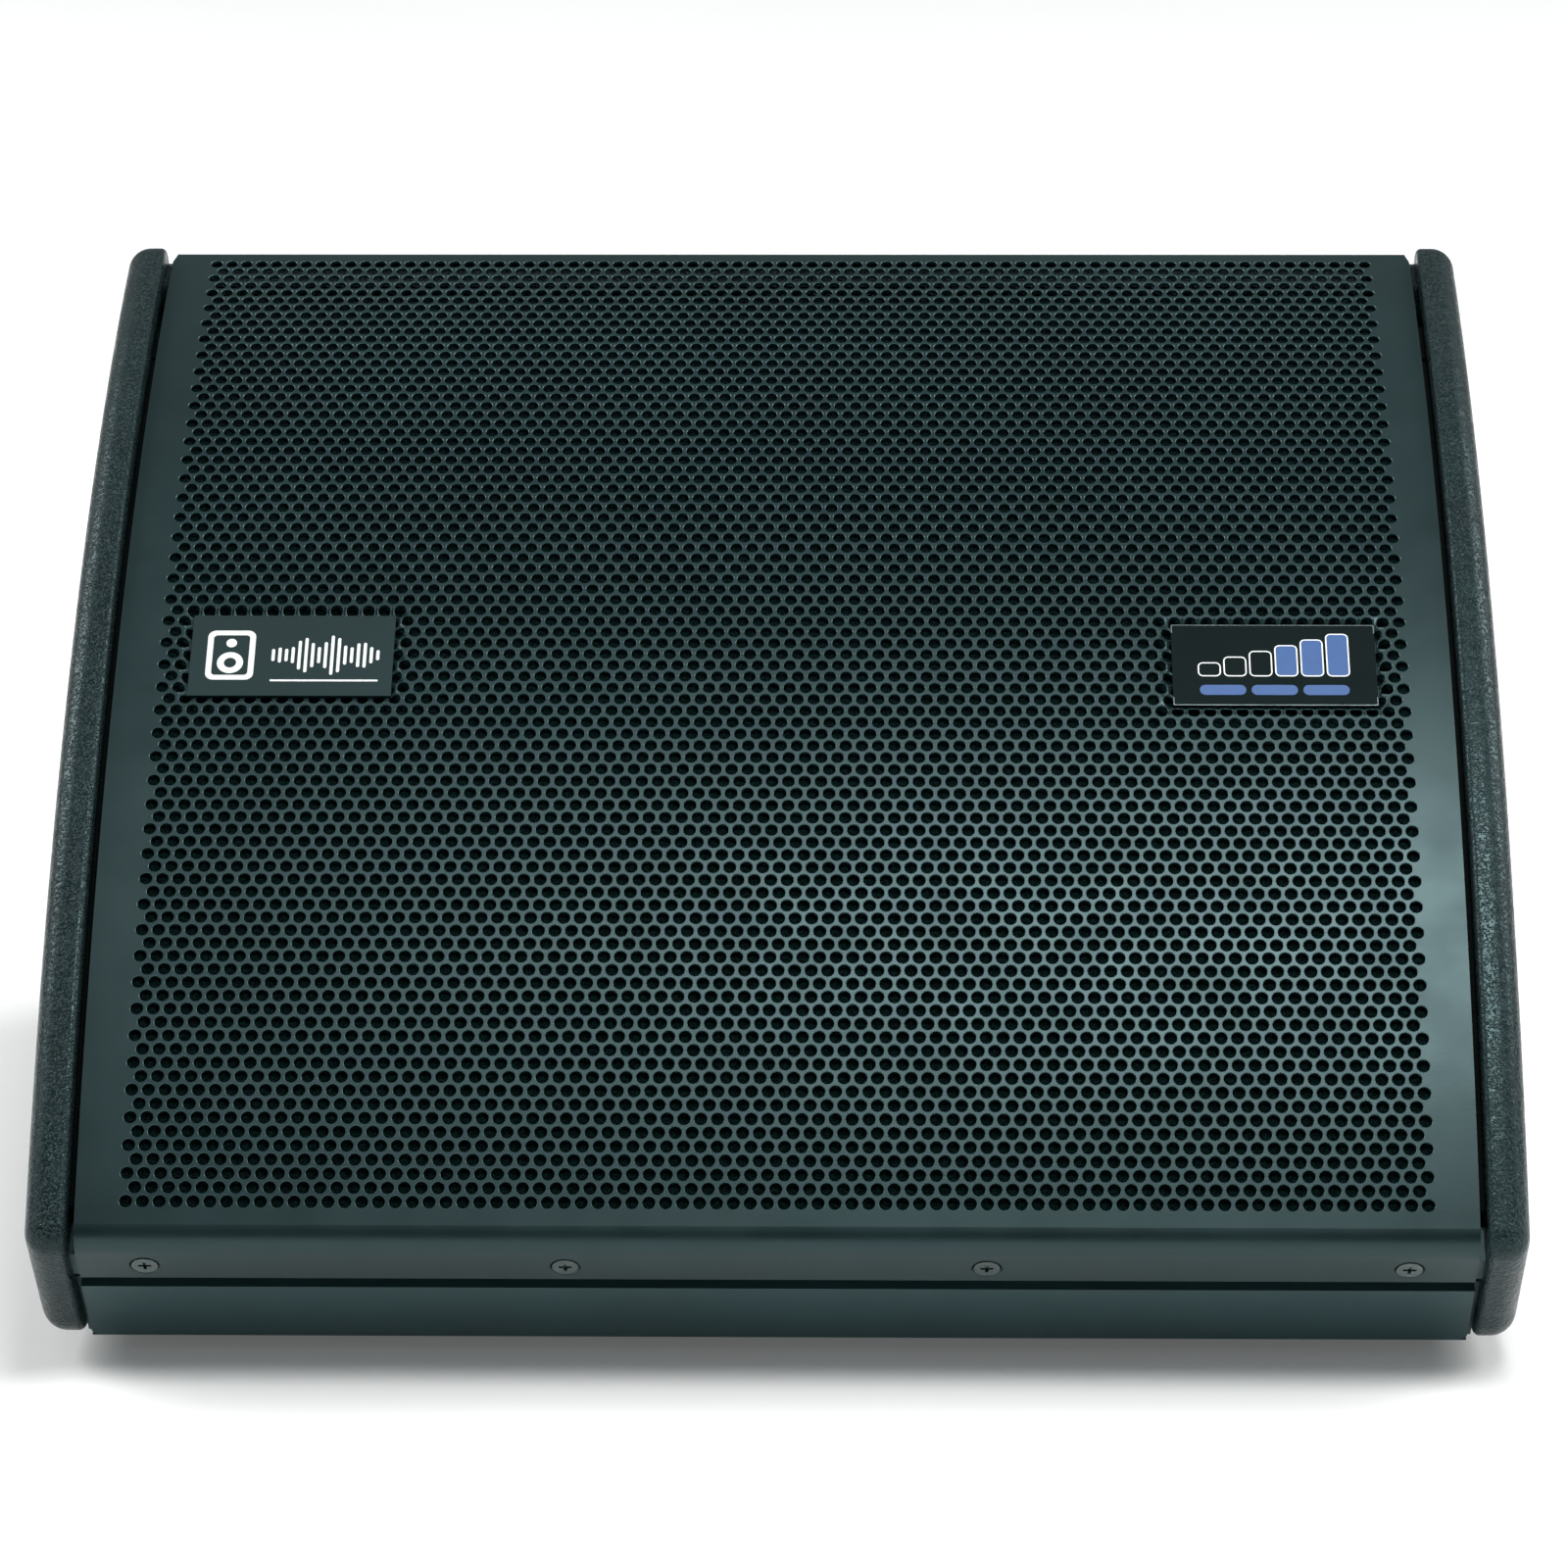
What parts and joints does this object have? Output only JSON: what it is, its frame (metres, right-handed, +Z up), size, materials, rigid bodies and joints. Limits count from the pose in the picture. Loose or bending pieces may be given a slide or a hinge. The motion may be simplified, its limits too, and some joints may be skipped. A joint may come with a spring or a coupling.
{
  "type": "stage monitor wedge",
  "caption": "Active stage monitor wedge: textured plywood sides, curved perforated steel front, woofers and horn inside, amplifier panel and pocket handle in the back.",
  "frame": {"origin": "on the floor, below the middle of the bounding box", "axes": "+Z up, the grille faces -Y and up, +X to the right seen from the front"},
  "size_m": [0.533, 0.3898, 0.3302],
  "materials": {
    "textured_paint": "black textured polyurea paint on plywood",
    "board_paint": "smooth satin dark grey paint on plywood",
    "plywood": "black stained plywood",
    "grille_steel": "satin dark grey powder coat",
    "foam": "open cell black foam",
    "wadding": "matte polyester wadding",
    "screw_steel": "black zinc",
    "badge": "satin printed plate",
    "foot_rubber": "matte",
    "basket_steel": "satin black",
    "surround_rubber": "matte",
    "cone_paper": "matte doped paper",
    "spider_cloth": "matte impregnated cotton",
    "coil": "enamelled copper",
    "motor_steel": "passivated steel",
    "ferrite": "matte ferrite",
    "moulded_plastic": "fine grain",
    "titanium": "thin satin foil",
    "plate_paint": "fine textured powder coat",
    "heatsink_aluminium": "black anodised",
    "circuit_board": "solder mask",
    "standoff_brass": "nickel free turned",
    "transformer_tape": "wound polyester tape",
    "connector_plastic": "satin moulded",
    "control_metal": "bright turned",
    "knob_plastic": "satin moulded",
    "led_lens": "tinted lens"
  },
  "bodies": {
    "cabinet": {"amp_board": "circuit_board", "amp_heatsink": "heatsink_aluminium", "amp_plate": "plate_paint", "badge_left": "badge", "badge_right": "badge", "baffle": "plywood", "board_standoffs": "standoff_brass", "bottom_panel": "textured_paint", "button_switches": "connector_plastic", "carry_handle": "moulded_plastic", "center_brace": "plywood", "damping_wadding": "wadding", "driver_back_cover": "moulded_plastic", "driver_housing": "motor_steel", "front_board": "board_paint", "grille": "grille_steel", "grille_battens": "plywood", "grille_foam": "foam", "grille_screws": "screw_steel", "horn": "moulded_plastic", "mains_inlet": "connector_plastic", "pan_head_screws": "screw_steel", "port_tubes": "moulded_plastic", "potentiometers": "control_metal", "power_transformer": "transformer_tape", "rear_panel": "textured_paint", "rocker_frame": "connector_plastic", "rubber_feet": "foot_rubber", "side_panel_left": "textured_paint", "side_panel_right": "textured_paint", "status_leds": "led_lens", "top_rail": "plywood", "woofer_left_basket": "basket_steel", "woofer_left_magnet": "ferrite", "woofer_left_spider": "spider_cloth", "woofer_left_surround": "surround_rubber", "woofer_left_top_plate": "motor_steel", "woofer_left_yoke": "motor_steel", "woofer_right_basket": "basket_steel", "woofer_right_magnet": "ferrite", "woofer_right_spider": "spider_cloth", "woofer_right_surround": "surround_rubber", "woofer_right_top_plate": "motor_steel", "woofer_right_yoke": "motor_steel", "woofer_screws": "screw_steel", "xlr_input": "connector_plastic", "xlr_link": "connector_plastic"},
    "left_cone": {"woofer_left_cone": "cone_paper", "woofer_left_dust_cap": "cone_paper", "woofer_left_voice_coil": "coil"},
    "right_cone": {"woofer_right_cone": "cone_paper", "woofer_right_dust_cap": "cone_paper", "woofer_right_voice_coil": "coil"},
    "diaphragm": {"driver_diaphragm": "titanium"},
    "volume_knob": {"volume_knob": "knob_plastic"},
    "tone_knob": {"tone_knob": "knob_plastic"},
    "power_rocker": {"power_rocker": "knob_plastic"},
    "ground_lift_button": {"ground_lift_button": "knob_plastic"},
    "eq_button": {"eq_button": "knob_plastic"}
  },
  "joints": [
    {"name": "left_cone_travel", "type": "slide", "parent": "cabinet", "child": "left_cone", "axis": [0, -0.5736, 0.8192], "range_m": [-0.005, 0.005], "stiffness_N_per_m": 3500, "deforming": ["woofer_left_surround", "woofer_left_spider"]},
    {"name": "right_cone_travel", "type": "slide", "parent": "cabinet", "child": "right_cone", "axis": [0, -0.5736, 0.8192], "range_m": [-0.005, 0.005], "stiffness_N_per_m": 3500, "deforming": ["woofer_right_surround", "woofer_right_spider"]},
    {"name": "diaphragm_travel", "type": "slide", "parent": "cabinet", "child": "diaphragm", "axis": [0, -0.5736, 0.8192], "range_m": [-0.0003, 0.0003], "stiffness_N_per_m": 15000},
    {"name": "volume_turn", "type": "hinge", "parent": "cabinet", "child": "volume_knob", "pos_m": [-0.058, 0.18114, 0.107], "axis": [0, 1, 0], "range_deg": [-150, 150]},
    {"name": "tone_turn", "type": "hinge", "parent": "cabinet", "child": "tone_knob", "pos_m": [-0.094, 0.18114, 0.107], "axis": [0, 1, 0], "range_deg": [-150, 150]},
    {"name": "power_rocker_tilt", "type": "hinge", "parent": "cabinet", "child": "power_rocker", "pos_m": [-0.145, 0.17814, 0.11], "axis": [0, 0, -1], "range_deg": [0, 12]},
    {"name": "ground_lift_press", "type": "slide", "parent": "cabinet", "child": "ground_lift_button", "axis": [0, -1, 0], "range_m": [0, 0.0025], "stiffness_N_per_m": 800, "springref_m": -0.001},
    {"name": "eq_press", "type": "slide", "parent": "cabinet", "child": "eq_button", "axis": [0, -1, 0], "range_m": [0, 0.0025], "stiffness_N_per_m": 800, "springref_m": -0.001}
  ]
}
